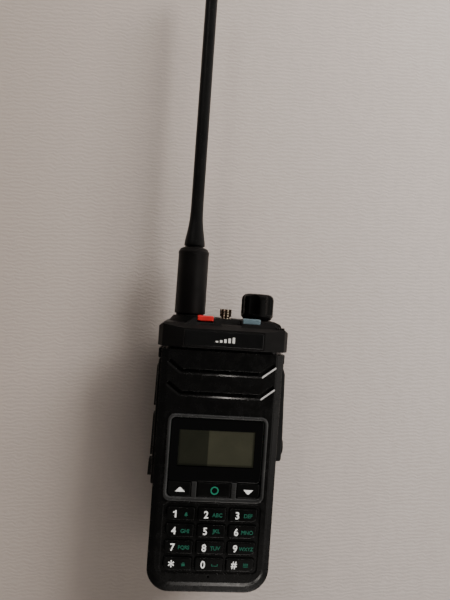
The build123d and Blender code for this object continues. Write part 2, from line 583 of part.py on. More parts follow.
# knob, made about the origin: a scalloped prism cut to a turned profile
SCALLOP_RING_R, SCALLOP_R = 12.1, 5.0
KNOB_PROFILE = (            # radius, z
    (0, KNOB_Z0), (6.6, KNOB_Z0), (7.5, KNOB_Z0 + 0.5), (KNOB_R, KNOB_Z0 + 1.9),
    (KNOB_R, KNOB_Z1 - 3.0), (KNOB_R - 0.45, KNOB_Z1 - 1.5), (KNOB_R - 1.6, KNOB_Z1 - 0.4),
    (KNOB_R - 3.0, KNOB_Z1), (0, KNOB_Z1),
)
prism = ext_z(Circle(KNOB_R), KNOB_Z0, KNOB_Z1)
for i in range(6):
    angle = math.radians(60 * i + 10)
    prism = prism - post(SCALLOP_RING_R * math.cos(angle), KNOB_Z0 + 3.0, KNOB_Z1 + 1, SCALLOP_R,
                         y=SCALLOP_RING_R * math.sin(angle))
prism = soften(prism, prism.edges().filter_by(Axis.Z).filter_by(
    lambda e: math.hypot(e.center().X, e.center().Y) > 6.5 and e.length > 8), 0.5)
knob = prism & turned(KNOB_PROFILE)
knob = knob - (post(0, KNOB_Z0 - 1, 141.7, SHAFT_BORE_R, y=0)
               - box(0.95, 4, -4, 4, 133.2, 143))
knob = knob - (post(0, KNOB_Z0 - 1, 133.6, 6.0, y=0) - post(0, KNOB_Z0 - 1, 133.6, 3.9, y=0))
save("volume_knob", Pos(VOL_X, CTRL_Y, 0) * knob)

# channel shaft: ring groove, fine teeth round the head and a slot across its top
channel_shaft = post(ENC_X, SHAFT_Z0, 129.6, SHAFT_R) + post(ENC_X, 129.5, ENC_TOP, ENC_R)
channel_shaft = channel_shaft - (post(ENC_X, 130.9, 131.9, 4) - post(ENC_X, 130.8, 132, 2.35))
channel_shaft = soften(channel_shaft, edges_at(channel_shaft, "Z", ENC_TOP), 0.3)
TOOTH_RING_R = 2.9
for i in range(18):
    angle = math.radians(20 * i)
    place = Pos(ENC_X + TOOTH_RING_R * math.cos(angle), CTRL_Y + TOOTH_RING_R * math.sin(angle),
                134.3)
    channel_shaft = channel_shaft - place * (Rot(0, 0, 20 * i + 45) * Box(0.42, 0.42, 4.8))
slot = Pos(ENC_X, CTRL_Y, 134.6) * (Rot(0, 0, 62) * Box(0.9, 8, 5.4))
save("channel_shaft", channel_shaft - slot)

# ---------------------------------------------------------------- antenna
connector = post(ANT_X, 117.0, 119.3, 4.6) + post(ANT_X, 119.2, 133.0, 3.15)
connector = connector + hexagon(ANT_X, 121.7, 123.8, 8.0)
connector = connector - post(ANT_X, 129.0, 134, 2.35) + post(ANT_X, 128.9, 132.4, 0.45)
save("antenna_connector", connector)

save("antenna_gasket", post(ANT_X, 131.35, 131.85, 7.0) - post(ANT_X, 131, 132, 5.2))

PLUG_R = 4.4
plug = post(ANT_X, 126.6, 146.0, PLUG_R) - post(ANT_X, 126, 133.6, 3.22)
plug = plug - post(ANT_X, 133.0, 135.4, 1.2)
for i in range(4):                       # ring grooves
    plug = plug - (post(ANT_X, 136.5 + 2 * i, 137.3 + 2 * i, 5) - post(ANT_X, 136, 147, 4.0))
save("antenna_plug", plug)

SLEEVE_PROFILE = (          # radius, z
    (PLUG_R, SLEEVE_Z0), (6.9, SLEEVE_Z0), (SLEEVE_R, SLEEVE_Z0 + 0.7),
    (SLEEVE_R - 0.1, SLEEVE_Z1 - 3.6), (SLEEVE_R + 0.05, SLEEVE_Z1 - 3.2),
    (SLEEVE_R + 0.05, SLEEVE_Z1 - 2.2), (SLEEVE_R - 0.9, SLEEVE_Z1 - 0.6),
    (SLEEVE_R - 2.0, SLEEVE_Z1), (2.4, SLEEVE_Z1), (2.4, 146.1), (PLUG_R, 146.1),
)
save("antenna_sleeve", Pos(ANT_X, CTRL_Y, 0) * turned(SLEEVE_PROFILE))

WHIP_BASE = [               # radius, z: root inside the sleeve, then the taper above it
    (0, 146.3), (2.3, 146.3), (2.3, 166.4), (4.7, 166.4), (4.7, 167.0), (5.35, 167.3),
    (5.28, 168.6), (5.14, 169.6), (4.92, 171.0), (4.64, 172.6), (4.33, 174.3), (4.03, 176.1),
    (3.76, 178.0), (3.53, 180.0), (3.36, 182.2), (3.26, 184.6), (WHIP_R, 188.0),
]
TIP_R, TIP_H = WHIP_R - 0.12, 2.6
tip = [(TIP_R * math.cos(math.radians(t)), WHIP_TOP - TIP_H + TIP_H * math.sin(math.radians(t)))
       for t in (0, 18, 36, 54, 72)]
save("antenna_whip", Pos(ANT_X, CTRL_Y, 0) * turned(WHIP_BASE + tip + [(0, WHIP_TOP)]))

# ---------------------------------------------------------------- battery
case_plan = poly((-BATTERY_HALF_W, BATTERY_Y0), (-BATTERY_HALF_W, 13.4), (-24.2, BATTERY_Y1),
                 (24.2, BATTERY_Y1), (BATTERY_HALF_W, 13.4), (BATTERY_HALF_W, BATTERY_Y0))
case_plan = fillet(case_plan.vertices().filter_by(lambda v: v.Y > 9), 2.0)
case_side = poly((BATTERY_Y0, 0), (14.0, 0), (BATTERY_Y1, 4.0), (BATTERY_Y1, BATTERY_TOP),
                 (BATTERY_Y0, BATTERY_TOP))
case_side = fillet(case_side.vertices().filter_by(lambda v: v.X > 9 and v.Y < 50), 1.6)
case = (ext_y(outline(BATTERY_HALF_W, 0, BATTERY_TOP, CORNER_R), BATTERY_Y0, 20)
        & ext_z(case_plan, -1, BATTERY_TOP) & ext_x(case_side, -30, 30))
case = soften(case, edges_at(case, "Z", BATTERY_TOP), 0.5)
hollow_plan = poly((-27, 7), (-27, 13), (-23.6, 16.6), (23.6, 16.6), (27, 13), (27, 7))
case = case - (ext_y(outline(27.0, 2.5, 97.5, 8.5), BATTERY_Y0 - 1, 16.6)
               & ext_z(hollow_plan, 0, 110))
for i in range(7):                       # grip flutes across the lower back
    case = case - mid_plate(15.0, 13.0 + 3.0 * i, 14.2 + 3.0 * i, 0.55, 17.5, 19)
case = case - mid_box(6.6, 11.2, 19, 98.4, 102)                 # latch notch, open upwards
for x in CHARGE_X:                       # charging contact dimples
    case = case - cyl_y(x, CHARGE_Z, 16, 19, 2.05)
save("battery_case", case)

lid = ext_y(outline(26.8, 2.7, 97.3, 8.3), BATTERY_Y0 + 0.05, 9.2)
for side in (-1, 1):
    lid = lid + box(*around(side * RAIL_X, 1.15), 6.4, 8.2, 6.5, 97.0)
save("battery_lid", lid)

cell_plan = poly((-25.4, 9), (-25.4, 12.6), (-22.6, 16.2), (0, 16.2), (0, 9))
cells = plate_x(9.5, 16.0, 8.0, 92.0, 1.5, -25.4, -0.5) & ext_z(cell_plan, 0, 100)
save("battery_cells", cells + mirror(cells, Plane.YZ))

save("charge_contacts", fuse([cyl_y(x, CHARGE_Z, 16.7, 17.5, 2.0) for x in CHARGE_X]))

LATCH_BACK_Y = 14.9
latch = mid_box(5.8, 9.6, LATCH_BACK_Y, 101.6, 106.1)
latch = soften(latch, edges_at(latch, "Y", LATCH_BACK_Y), 0.6)
for i in range(3):
    latch = latch - mid_box(4.2, 14.5, 16, 102.6 + 1.2 * i, 103.0 + 1.2 * i)
save("battery_latch", latch + mid_box(4.6, 13.0, 14.4, 99.4, 101.9))

# ---------------------------------------------------------------- belt clip
# bracket screwed to the chassis, with two ears that hold the pin
EAR_X, EAR_HALF_W, EAR_R = 10.1, 1.3, 2.6
bracket = mid_box(11.6, 14.05, 15.9, 107.4, 116.0)
bracket = soften(bracket, bracket.edges().filter_by(Axis.Y), 1.2)
for side in (-1, 1):
    ear_x = around(side * EAR_X, EAR_HALF_W)
    ear = (ext_x(Pos(CLIP_Y, CLIP_Z) * Circle(EAR_R), *ear_x)
           + box(*ear_x, 15.0, CLIP_Y, *around(CLIP_Z, EAR_R)))
    bracket = bracket + ear
bracket = bracket - cyl_x(CLIP_Y, CLIP_Z, -14, 14, CLIP_PIN_R + 0.005)
for x, z in CLIP_SCREWS:
    bracket = bracket - cyl_y(x, z, 13, 18, 1.4) - cyl_y(x, z, 15.0, 18, 2.3)
save("clip_bracket", bracket)


def case_screw(x, z, y_tip, y_seat, y_head, head_r, y_recess):
    """A screw driven in from the back, with a round recess in its head."""
    body = cyl_y(x, z, y_tip, y_seat, 1.2) + cyl_y(x, z, y_seat - 0.05, y_head, head_r)
    return body - cyl_y(x, z, y_recess, y_head + 1, 0.9)


save("case_screws", fuse([case_screw(x, z, -5.0, 6.3, 7.6, 2.2, 6.9) for x, z in BOSSES]
                         + [case_screw(x, z, 11.8, 15.1, 16.2, 2.15, 15.7)
                            for x, z in CLIP_SCREWS]))

save("clip_pin", cyl_x(CLIP_Y, CLIP_Z, -CLIP_PIN_HALF_W, CLIP_PIN_HALF_W, CLIP_PIN_R))

CLIP_ARM = (                # y, z: down the back of the arm, then up its front
    (18.9, 121.0), (20.6, 121.4), (22.3, 112.0), (24.6, 100.0), (25.0, 60.0), (22.6, 49.0),
    (20.4, 43.6), (21.8, 38.4), (20.4, 38.0), (18.5, 43.4), (20.9, 49.6), (23.2, 60.4),
    (22.8, 99.0), (20.0, 107.8), (17.6, 110.0), (18.3, 113.8),
)
arm = poly(*CLIP_ARM)
arm = fillet(arm.vertices().filter_by(lambda v: v.Y < 105 and v.Y > 41), 1.0)
clip = (ext_x(arm, -CLIP_HALF_W, CLIP_HALF_W)
        + cyl_x(CLIP_Y, CLIP_Z, -CLIP_HALF_W, CLIP_HALF_W, 2.4))
# room for the spring, closed at the back
clip = clip - mid_box(5.2, 15, 22.4, *around(CLIP_Z, 3.0))
clip = clip + mid_box(5.2, 22.5, 23.2, CLIP_Z - 3.6, CLIP_Z + 2.0)
clip = clip - cyl_x(CLIP_Y, CLIP_Z, -14, 14, CLIP_PIN_R + 0.06)
clip = clip & mid_plate(CLIP_HALF_W, 37.0, 122.0, 4.0, 10, 30)
for i in range(3):
    clip = clip - mid_plate(5.4, 52.0 + 3 * i, 53.0 + 3 * i, 0.45, 24.4, 27)
save("belt_clip", clip)

SPRING_L = 6.9
coil = Helix(pitch=1.15, height=SPRING_L, radius=1.75)
spring = sweep((coil ^ 0) * Circle(0.36), path=coil, is_frenet=True)
save("clip_spring", Pos(-SPRING_L / 2, CLIP_Y, CLIP_Z) * (Rot(0, 90, 0) * spring))
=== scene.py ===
"""A handheld two-way radio: materials, printed legends, small trim, table, lights and camera.

Metres. The radio stands along +Z with its face towards -Y, its battery towards +Y and its
antenna on the left (-X). The table is the upright plane its back rests on, at +Y.
"""
import json
import math

import bmesh
import bpy
from mathutils import Matrix, Vector


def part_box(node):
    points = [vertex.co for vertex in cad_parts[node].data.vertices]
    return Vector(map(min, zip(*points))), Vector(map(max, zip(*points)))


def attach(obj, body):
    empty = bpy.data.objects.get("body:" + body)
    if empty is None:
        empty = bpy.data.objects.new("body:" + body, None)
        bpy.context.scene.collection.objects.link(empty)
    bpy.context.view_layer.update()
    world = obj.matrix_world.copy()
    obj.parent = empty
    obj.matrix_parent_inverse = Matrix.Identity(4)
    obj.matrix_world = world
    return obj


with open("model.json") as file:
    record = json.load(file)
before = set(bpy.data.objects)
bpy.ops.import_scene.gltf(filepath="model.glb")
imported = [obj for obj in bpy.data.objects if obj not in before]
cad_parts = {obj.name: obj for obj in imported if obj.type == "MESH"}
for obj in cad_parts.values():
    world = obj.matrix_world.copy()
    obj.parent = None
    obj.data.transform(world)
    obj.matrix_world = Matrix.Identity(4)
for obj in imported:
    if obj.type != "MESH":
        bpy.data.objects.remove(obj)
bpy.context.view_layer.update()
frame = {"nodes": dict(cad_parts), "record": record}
NODES = frame["nodes"]
MM = 0.001

# control axes on the top deck, (x, y)
ANTENNA_AXIS = (-0.0172, 0.002)
CHANNEL_AXIS = (0.0014, 0.002)

# keypad: marks sit on the flat faces of the keys
KEY_FACE_Y = -0.01797
FUNCTION_KEY_FACE_Y = -0.01777
NAME_PLATE_Y = -0.01879
COLUMN_PITCH = 0.01495
ROW_PITCH = 0.00795
TOP_ROW_Z = 0.0378
COLUMNS = (-COLUMN_PITCH, 0.0, COLUMN_PITCH)
ROWS = [TOP_ROW_Z - row * ROW_PITCH for row in range(4)]
PRINT_DEPTH = 0.00004           # half the thickness of a printed mark


# ------------------------------------------------------------------ node helpers
def srgb(red, green, blue):
    """Linear colour from 8-bit sRGB."""
    def linear(value):
        value /= 255.0
        return value / 12.92 if value <= 0.04045 else ((value + 0.055) / 1.055) ** 2.4
    return (linear(red), linear(green), linear(blue), 1.0)


def scaled(color, factor):
    return tuple(min(1.0, c * factor) for c in color[:3]) + (1,)


class Nodes:
    """Builds a node tree. Helpers return output sockets and take sockets or plain values."""

    def __init__(self, tree, coordinates):
        self.tree = tree
        self.coords = self.node("TexCoord").outputs[coordinates]

    def put(self, socket, value):
        if isinstance(value, bpy.types.NodeSocket):
            self.tree.links.new(value, socket)
        else:
            socket.default_value = value

    def node(self, kind, inputs=None, **props):
        """Add a node; an input given as None is left alone."""
        node = self.tree.nodes.new("ShaderNode" + kind)
        for key, value in props.items():
            setattr(node, key, value)
        for key, value in (inputs or {}).items():
            if value is not None:
                self.put(node.inputs[key], value)
        return node

    def math(self, operation, a, b=0.0, clamp=False):
        return self.node("Math", {0: a, 1: b}, operation=operation, use_clamp=clamp).outputs[0]

    def add(self, a, b, clamp=False):
        return self.math("ADD", a, b, clamp)

    def sub(self, a, b, clamp=False):
        return self.math("SUBTRACT", a, b, clamp)

    def mul(self, a, b, clamp=False):
        return self.math("MULTIPLY", a, b, clamp)

    def dot(self, a, b):
        node = self.node("VectorMath", {0: a, 1: b}, operation="DOT_PRODUCT")
        return node.outputs["Value"]

    def xyz(self, vector=None):
        return self.node("SeparateXYZ", {0: vector or self.coords}).outputs

    def remap(self, value, span, to=(0.0, 1.0), **props):
        """Map the span onto another range, held at its ends."""
        return self.node("MapRange", {
            "Value": value, "From Min": span[0], "From Max": span[1],
            "To Min": to[0], "To Max": to[1]}, **props).outputs[0]

    def mix_shader(self, factor, a, b):
        return self.node("MixShader", {0: factor, 1: a, 2: b}).outputs[0]


class Mat(Nodes):
    """A new material; its textures read object coordinates in metres."""

    def __init__(self, name):
        self.material = bpy.data.materials.new(name)
        self.material.use_nodes = True
        self.material.node_tree.nodes.clear()
        super().__init__(self.material.node_tree, "Object")

    def mapping(self, scale=(1, 1, 1), location=(0, 0, 0), rotation=(0, 0, 0)):
        return self.node("Mapping", {
            "Vector": self.coords, "Scale": scale,
            "Location": location, "Rotation": rotation}).outputs[0]

    def noise(self, scale, detail=2.0, rough=0.5, vector=None, distortion=0.0):
        return self.node("TexNoise", {
            "Vector": vector or self.coords, "Scale": scale, "Detail": detail,
            "Roughness": rough, "Distortion": distortion}).outputs["Fac"]

    def cloud(self, scale, distortion=0.0):
        return self.noise(scale, detail=3.0, rough=0.6, distortion=distortion)

    def voronoi(self, scale, vector=None):
        inputs = {"Vector": vector or self.coords, "Scale": scale}
        return self.node("TexVoronoi", inputs).outputs["Distance"]

    def vary(self, noise, low=0.0, high=1.0):
        """Spread the usual values of a noise over low to high."""
        return self.remap(noise, (0.3, 0.7), to=(low, high))

    def mix(self, factor, a, b):
        inputs = {"Factor": factor, "A": a, "B": b}
        return self.node("Mix", inputs, data_type="RGBA").outputs["Result"]

    def bump(self, height, strength, distance, normal=None):
        return self.node("Bump", {
            "Height": height, "Strength": strength,
            "Distance": distance, "Normal": normal}).outputs[0]

    def rounded(self, radius):
        return self.node("Bevel", {"Radius": radius}, samples=6).outputs[0]

    def edge(self, rounded):
        """1 on edges, 0 on flats: how far the rounded normal leans from the true one."""
        normal = self.node("NewGeometry").outputs["Normal"]
        return self.remap(self.dot(rounded, normal), (0.995, 0.88))

    def box_mask(self, x_span, z_span, soft=0.00012):
        """1 inside a rectangle seen from the front, fading over its border."""
        x, _, z = self.xyz()

        def inside(axis, low, high):
            return self.mul(self.remap(axis, (low - soft, low + soft)),
                            self.remap(axis, (high + soft, high - soft)))
        return self.mul(inside(x, *x_span), inside(z, *z_span), clamp=True)

    def principled(self, color, rough, metal=0.0, normal=None, **extra):
        inputs = {"Base Color": color, "Roughness": rough, "Metallic": metal, "Normal": normal}
        inputs.update((key.replace("_", " "), value) for key, value in extra.items())
        return self.node("BsdfPrincipled", inputs).outputs[0]

    def surface(self, shader):
        self.node("OutputMaterial", {0: shader})
        return self.material

    def finish(self, *args, **kwargs):
        return self.surface(self.principled(*args, **kwargs))


# ------------------------------------------------------------------ materials
def plastic(name, base, worn, rough, grain=2600.0, grain_depth=0.00003, grain_strength=0.25,
            edge_radius=0.00022, wear=0.5, smudge=0.08, specular=0.5, flank=None):
    """Moulded plastic with spark-eroded grain, handling marks, polished edges and dust.

    flank: roughness of the smooth flanks that face up and forward.
    """
    mat = Mat(name)
    large = mat.cloud(38.0)
    medium = mat.cloud(240.0, distortion=0.4)
    rounded = mat.rounded(edge_radius)
    edge = mat.edge(rounded)

    color = mat.mix(mat.vary(large, 0.0, 0.35), base, worn)
    patchy = mat.mul(mat.remap(medium, (0.4, 0.62)), wear)
    color = mat.mix(mat.mul(edge, patchy, clamp=True), color, worn)
    specks = mat.voronoi(900.0, vector=mat.mapping(location=(0.3, 0.1, 0.7)))
    dust = mat.mul(mat.remap(specks, (0.07, 0.03)),
                   mat.remap(large, (0.52, 0.7), to=(0.0, 0.3)))
    color = mat.mix(dust, color, (0.25, 0.24, 0.22, 1))

    streaks = mat.noise(420.0, detail=4.0, rough=0.7, vector=mat.mapping((1.0, 1.0, 0.18)))
    scuff = mat.remap(streaks, (0.58, 0.72))
    roughness = mat.add(mat.vary(medium, rough - smudge, rough + smudge), mat.mul(scuff, -0.08))
    roughness = mat.add(roughness, mat.mul(edge, -0.06), clamp=True)

    height = mat.add(mat.noise(grain, rough=0.65), mat.mul(mat.voronoi(grain * 0.55), 0.6))
    normal = mat.bump(height, grain_strength, grain_depth, rounded)
    if flank is not None:
        true_normal = mat.node("NewGeometry").outputs["True Normal"]
        _, y, z = mat.xyz(true_normal)
        mask = mat.mul(mat.remap(z, (0.38, 0.42)), mat.remap(y, (-0.5, -0.56)), clamp=True)
        polished = mat.vary(mat.cloud(160.0), flank - 0.03, flank + 0.05)
        roughness = mat.add(mat.mul(roughness, mat.sub(1.0, mask)),
                            mat.mul(polished, mask), clamp=True)
        normal = mat.mix(mask, normal, true_normal)
    return mat.finish(color, roughness, normal=normal,
                      Coat_Roughness=0.15, Specular_IOR_Level=specular)


def rubber(name, base, worn, rough=0.72, grain=3200.0, grain_strength=0.35, specular=0.22):
    """Matt rubber with pale specks and slightly worn edges."""
    mat = Mat(name)
    large = mat.cloud(60.0)
    fine = mat.noise(grain, detail=3.0, rough=0.7)
    specks = mat.noise(1500.0, rough=0.6)
    rounded = mat.rounded(0.0003)
    color = mat.mix(mat.remap(large, (0.35, 0.7), to=(0.0, 0.5)), base, worn)
    color = mat.mix(mat.mul(mat.edge(rounded), 0.35), color, worn)
    color = mat.mix(mat.remap(specks, (0.66, 0.74), to=(0.0, 0.25)), color,
                    (0.12, 0.118, 0.11, 1))
    return mat.finish(color, mat.vary(large, rough - 0.08, rough + 0.06),
                      normal=mat.bump(fine, grain_strength, distance=0.00004, normal=rounded),
                      Sheen_Weight=0.03, Sheen_Roughness=0.5, Specular_IOR_Level=specular)


def metal(name, base, dark, rough, brushed=(1, 1, 1), grain=900.0, pits=0.2):
    """Metal with brushing, dark pits and brighter edges. brushed: stretch of the brushing."""
    mat = Mat(name)
    lines = mat.noise(grain, detail=4.0, rough=0.7, vector=mat.mapping(brushed))
    rounded = mat.rounded(0.00012)
    color = mat.mix(mat.remap(mat.cloud(90.0), (0.35, 0.7), to=(0.0, 0.6)), base, dark)
    color = mat.mix(mat.remap(mat.noise(1600.0), (0.62, 0.72), to=(0.0, pits)), color, dark)
    color = mat.mix(mat.mul(mat.edge(rounded), 0.4), color, scaled(base, 1.35))
    return mat.finish(color, mat.vary(lines, rough - 0.08, rough + 0.1), metal=1.0,
                      normal=mat.bump(lines, strength=0.18, distance=0.00002, normal=rounded))


def lens_material():
    """Clear window with a black border printed on its back, under one glossy surface."""
    mat = Mat("lens")
    window = mat.box_mask((-0.0183, 0.0184), (0.0603, 0.0778))
    smear = mat.noise(120.0, detail=4.0, rough=0.65,
                      vector=mat.mapping((1, 1, 0.35), rotation=(0, 0.5, 0)))
    scratch = mat.noise(700.0, vector=mat.mapping((1.0, 1.0, 0.04), rotation=(0, 0.9, 0)))
    rough = mat.add(mat.remap(smear, (0.4, 0.75), to=(0.035, 0.16)),
                    mat.remap(scratch, (0.66, 0.74), to=(0.0, 0.12)))
    normal = mat.bump(smear, strength=0.04, distance=0.00002, normal=mat.rounded(0.00015))
    border = mat.principled((0.003, 0.003, 0.003, 1), rough, normal=normal)
    clear = mat.node("BsdfTransparent", {"Color": (0.9, 0.91, 0.9, 1)}).outputs[0]
    gloss = mat.node("BsdfGlossy", {"Roughness": rough, "Normal": normal}).outputs[0]
    fresnel = mat.node("Fresnel", {"IOR": 1.47}).outputs[0]
    glass = mat.mix_shader(fresnel, clear, gloss)
    return mat.surface(mat.mix_shader(window, border, glass))


def lcd_material():
    """Unlit display: olive-grey field, a painted dark reflection on its left part, faint dot
    grid, dark surround, and a faint painted glow over it all.
    """
    dot_pitch = 0.00013
    mat = Mat("lcd")
    x, _, z = mat.xyz()
    cloud = mat.cloud(70.0)
    color = mat.mix(mat.vary(cloud), srgb(152, 148, 122), srgb(134, 131, 108))
    # painted reflection: the left part of the field is darkened as if something dark were
    # mirrored in the lens
    left = mat.remap(x, (-0.0041, -0.0037), to=(0.74, 0.0))
    color = mat.mix(left, color, srgb(56, 58, 48))
    # shifted by a metre so that the grid never meets a negative coordinate
    across, upward = [mat.math("PINGPONG", mat.add(axis, 1.0), dot_pitch) for axis in (x, z)]
    grid = mat.math("MINIMUM", across, upward)
    color = mat.mix(mat.remap(grid, (0.00002, 0.0), to=(0.0, 0.16)), color, srgb(70, 74, 60))
    active = mat.box_mask((-0.0176, 0.0176), (0.0612, 0.0772), soft=0.0003)
    color = mat.mix(mat.mul(mat.sub(1.0, active), 0.55), color, srgb(40, 42, 36))
    # painted glow: the unlit display emits a little of its own colour
    return mat.finish(color, mat.vary(cloud, 0.42, 0.55),
                      normal=mat.bump(grid, strength=0.1, distance=0.00002),
                      Emission_Color=color, Emission_Strength=0.13)


def board_material():
    """Green circuit board with brick-pattern tracks and gold pads."""
    mat = Mat("board")
    tracks = mat.node("TexBrick", {
        "Vector": mat.mapping((520, 520, 520), rotation=(math.radians(90), 0, 0)),
        "Color1": (0.012, 0.11, 0.045, 1), "Color2": (0.016, 0.15, 0.06, 1),
        "Mortar": (0.03, 0.24, 0.1, 1), "Mortar Size": 0.03}).outputs
    pads = mat.remap(mat.voronoi(420.0), (0.16, 0.13))
    color = mat.mix(pads, tracks["Color"], (0.62, 0.46, 0.2, 1))
    return mat.finish(color, mat.vary(mat.noise(300.0), 0.3, 0.45), metal=mat.mul(pads, 0.9),
                      normal=mat.bump(tracks["Fac"], strength=0.3, distance=0.00004))


def cell_material():
    """Blue shrink wrap with pale bands along the height."""
    mat = Mat("cells")
    _, _, z = mat.xyz()
    wrinkle = mat.noise(180.0, detail=4.0, rough=0.6, vector=mat.mapping((1, 1, 0.3)))
    band = mat.remap(mat.math("PINGPONG", z, 0.021), (0.0195, 0.0205))
    color = mat.mix(mat.vary(wrinkle, 0.0, 0.4), (0.02, 0.07, 0.2, 1), (0.03, 0.1, 0.26, 1))
    color = mat.mix(band, color, (0.5, 0.5, 0.48, 1))
    return mat.finish(color, mat.vary(wrinkle, 0.25, 0.45),
                      normal=mat.bump(wrinkle, strength=0.4, distance=0.0002))


def ink(name, color, glow, rough=0.45):
    """Pad-printed ink with tiny pinholes and a faint painted glow that brightens it."""
    mat = Mat(name)
    pinholes = mat.cloud(2400.0)
    worn = mat.mix(mat.remap(pinholes, (0.6, 0.8), to=(0.0, 0.25)), color, scaled(color, 0.45))
    # the emission is a painted glow; the ink gives off no light of its own
    return mat.finish(worn, mat.vary(mat.noise(300.0), rough - 0.08, rough + 0.1),
                      normal=mat.bump(pinholes, strength=0.12, distance=0.00002),
                      Emission_Color=color, Emission_Strength=glow)


def translucent(name, light, dark, rough=0.28):
    """Cloudy translucent plastic with a painted highlight that lightens its edges."""
    mat = Mat(name)
    cloud = mat.cloud(160.0)
    rounded = mat.rounded(0.0004)
    color = mat.mix(mat.vary(cloud, 0.0, 0.6), light, dark)
    # painted highlight: the edges are lightened towards a paler colour
    color = mat.mix(mat.mul(mat.edge(rounded), 0.35), color, scaled(light, 1.6))
    normal = mat.bump(mat.noise(1800.0), strength=0.06, distance=0.00002, normal=rounded)
    return mat.finish(color, mat.vary(cloud, rough - 0.06, rough + 0.1), normal=normal,
                      Subsurface_Weight=0.25, Subsurface_Radius=(0.002, 0.002, 0.002),
                      Subsurface_Scale=0.4, Coat_Weight=0.3)


def cap_material():
    """Charcoal deck; the conical seat round the antenna is a deeper black and smoother."""
    mat = Mat("cap_charcoal")
    x, y, z = mat.xyz()
    dx, dy = mat.sub(x, ANTENNA_AXIS[0]), mat.sub(y, ANTENNA_AXIS[1])
    radius = mat.math("SQRT", mat.add(mat.mul(dx, dx), mat.mul(dy, dy)))
    seat = mat.mul(mat.remap(radius, (0.01135, 0.01125)),
                   mat.remap(z, (0.1276, 0.1278)), clamp=True)
    medium = mat.cloud(240.0, distortion=0.4)
    rounded = mat.rounded(0.00022)
    color = mat.mix(mat.vary(mat.cloud(38.0), 0.0, 0.35), srgb(9, 8, 8), srgb(20, 19, 18))
    wear = mat.mul(mat.edge(rounded), mat.remap(medium, (0.4, 0.62), to=(0.0, 0.5)))
    color = mat.mix(wear, color, srgb(60, 58, 55))
    color = mat.mix(seat, color, srgb(5, 5, 5))
    rough = mat.sub(mat.vary(medium, 0.38, 0.52), mat.mul(seat, 0.12))
    height = mat.add(mat.noise(3000.0, rough=0.65), mat.mul(mat.voronoi(1700.0), 0.6))
    return mat.finish(color, rough,
                      normal=mat.bump(height, strength=0.3, distance=0.00003, normal=rounded),
                      Specular_IOR_Level=mat.remap(seat, (0.0, 1.0), to=(0.22, 0.1)))


def stub_material():
    """Brass spindle: bright lands between nine splines and turning rings whose grooves carry
    painted dark shade.
    """
    mat = Mat("brass_painted_groove_shade")
    x, y, z = mat.xyz()
    dx, dy = mat.sub(x, CHANNEL_AXIS[0]), mat.sub(y, CHANNEL_AXIS[1])
    angle = mat.math("ARCTAN2", dy, dx)
    spline = mat.remap(mat.math("SINE", mat.mul(angle, 9.0)), (-0.1, 0.45))
    ring = mat.remap(mat.math("PINGPONG", z, 0.0007), (0.00012, 0.00026))
    grime = mat.noise(520.0, detail=4.0, rough=0.65)
    bright = mat.mul(mat.mul(spline, ring),
                     mat.remap(grime, (0.3, 0.55), to=(0.35, 1.0)), clamp=True)
    # painted shade: the near-black colour fills the spline and ring grooves; the grime noise
    # also dulls the lands at random
    color = mat.mix(bright, (0.05, 0.032, 0.018, 1), (0.86, 0.72, 0.53, 1))
    normal = mat.bump(bright, strength=0.5, distance=0.00012, normal=mat.rounded(0.00012))
    return mat.finish(color, mat.vary(grime, 0.2, 0.36), metal=0.72, normal=normal)


def label_material():
    """Foil label: dark field, thin pale border, ruled lines and a row of plain marks."""
    soft = 0.00004
    mat = Mat("label_foil")
    x, _, z = mat.xyz()
    outer = mat.box_mask((-0.0188, 0.0188), (0.0477, 0.0893), soft)
    inner = mat.box_mask((-0.0185, 0.0185), (0.048, 0.089), soft)
    border = mat.sub(outer, inner, clamp=True)
    rules = mat.remap(mat.math("PINGPONG", mat.sub(z, 0.048), 0.00205), (0.00012, 0.00004))
    rules = mat.mul(rules, mat.box_mask((-0.0172, 0.0172), (0.0585, 0.0882), soft))
    dashes = mat.remap(mat.math("PINGPONG", x, 0.0016), (0.0007, 0.0008))
    marks = mat.mul(dashes, mat.box_mask((-0.0168, 0.0168), (0.0512, 0.0545), soft))
    lines = mat.math("MAXIMUM", mat.mul(rules, 0.55), mat.mul(marks, 0.8))
    print_mask = mat.math("MAXIMUM", border, lines, clamp=True)
    scuff = mat.noise(260.0, detail=4.0, rough=0.65, vector=mat.mapping((1.0, 1.0, 0.3)))
    print_mask = mat.mul(print_mask, mat.remap(scuff, (0.62, 0.5), to=(0.35, 1.0)))
    field = mat.mix(mat.remap(scuff, (0.4, 0.7), to=(0.0, 0.4)),
                    srgb(28, 28, 29), srgb(46, 46, 46))
    color = mat.mix(print_mask, field, srgb(166, 166, 162))
    return mat.finish(color, mat.vary(scuff, 0.28, 0.42),
                      normal=mat.bump(print_mask, strength=0.1, distance=0.00001))


